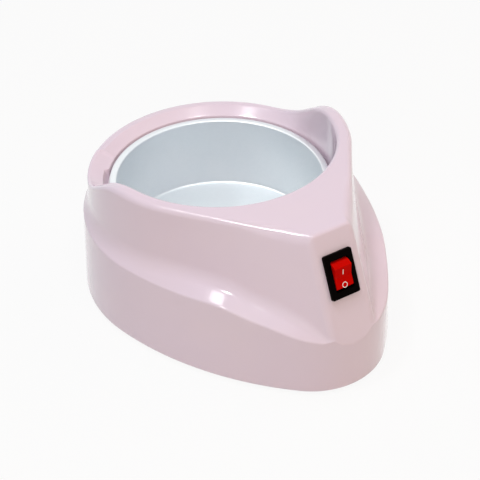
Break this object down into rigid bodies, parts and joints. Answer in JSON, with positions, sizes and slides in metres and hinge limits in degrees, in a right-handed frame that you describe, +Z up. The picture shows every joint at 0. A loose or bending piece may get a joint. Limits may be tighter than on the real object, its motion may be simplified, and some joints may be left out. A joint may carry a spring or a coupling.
{
  "type": "wax and paraffin warmer",
  "caption": "Small electric wax and paraffin warmer: teardrop plastic housing with a lift-out round metal pot, heated well and rocker switch on a sloping nose.",
  "frame": {"origin": "middle of the bounding box on the surface that the feet stand on", "axes": "+Z up, -Y towards the nose with the switch, +X to the right as seen from the nose"},
  "size_m": [0.1416, 0.1764, 0.0754],
  "materials": {
    "housing_plastic": "glossy moulded, pearly lilac pink",
    "base_plastic": "satin moulded",
    "pot_aluminium": "satin spun and anodised",
    "well_aluminium": "plain drawn sheet",
    "plated_steel": "zinc plated",
    "foot_rubber": "matt",
    "gasket_silicone": "matt silicone",
    "heater_mica": "pressed mica",
    "black_phenolic": "moulded phenolic",
    "contact_brass": "bare brass",
    "switch_black": "glossy black",
    "rocker_red": "translucent red",
    "mark_white": "printed white",
    "spring_steel": "bright wire",
    "lamp_glass": "clear glass",
    "fibre_pad": "pressed fibre",
    "bushing_rubber": "pale moulded rubber",
    "block_nylon": "natural nylon",
    "lead_sleeve": "silicone sleeve"
  },
  "bodies": {
    "housing": {"upper_housing": "housing_plastic", "base_plate": "base_plastic", "rubber_feet": "foot_rubber", "base_screws": "plated_steel", "heater_well": "well_aluminium", "well_gasket": "gasket_silicone", "well_brackets": "plated_steel", "bracket_screws": "plated_steel", "heater_disc": "heater_mica", "heater_tabs": "contact_brass", "clamp_ring": "plated_steel", "clamp_nuts": "plated_steel", "thermostat_cap": "well_aluminium", "thermostat_body": "black_phenolic", "thermostat_tabs": "contact_brass", "thermostat_bracket": "plated_steel", "thermostat_nuts": "plated_steel", "thermal_fuse": "well_aluminium", "fuse_clip": "plated_steel", "insulation_pad": "fibre_pad", "cord_bushing": "bushing_rubber", "terminal_block": "block_nylon", "block_screws": "plated_steel", "heater_leads": "lead_sleeve", "switch_leads": "lead_sleeve", "switch_body": "switch_black", "switch_terminals": "contact_brass", "neon_lamp": "lamp_glass"},
    "pot": {"wax_pot": "pot_aluminium"},
    "rocker": {"rocker": "rocker_red", "on_mark": "mark_white", "off_mark": "mark_white", "rocker_plunger": "contact_brass", "plunger_spring": "spring_steel"},
    "lever": {"contact_lever": "contact_brass"}
  },
  "joints": [
    {"name": "pot_lift", "type": "slide", "parent": "housing", "child": "pot", "axis": [0, 0, 1], "range_m": [0, 0.062]},
    {"name": "rocker_press", "type": "hinge", "parent": "housing", "child": "rocker", "pos_m": [0, -0.07303, 0.05531], "axis": [-1, 0, 0], "range_deg": [0, 22]},
    {"name": "lever_rock", "type": "hinge", "parent": "housing", "child": "lever", "pos_m": [0, -0.0666, 0.05254], "axis": [1, 0, 0], "range_deg": [0, 12]}
  ],
  "couplings": [
    {"joint": "lever_rock", "follows": "rocker_press", "ratio": 0.545}
  ]
}
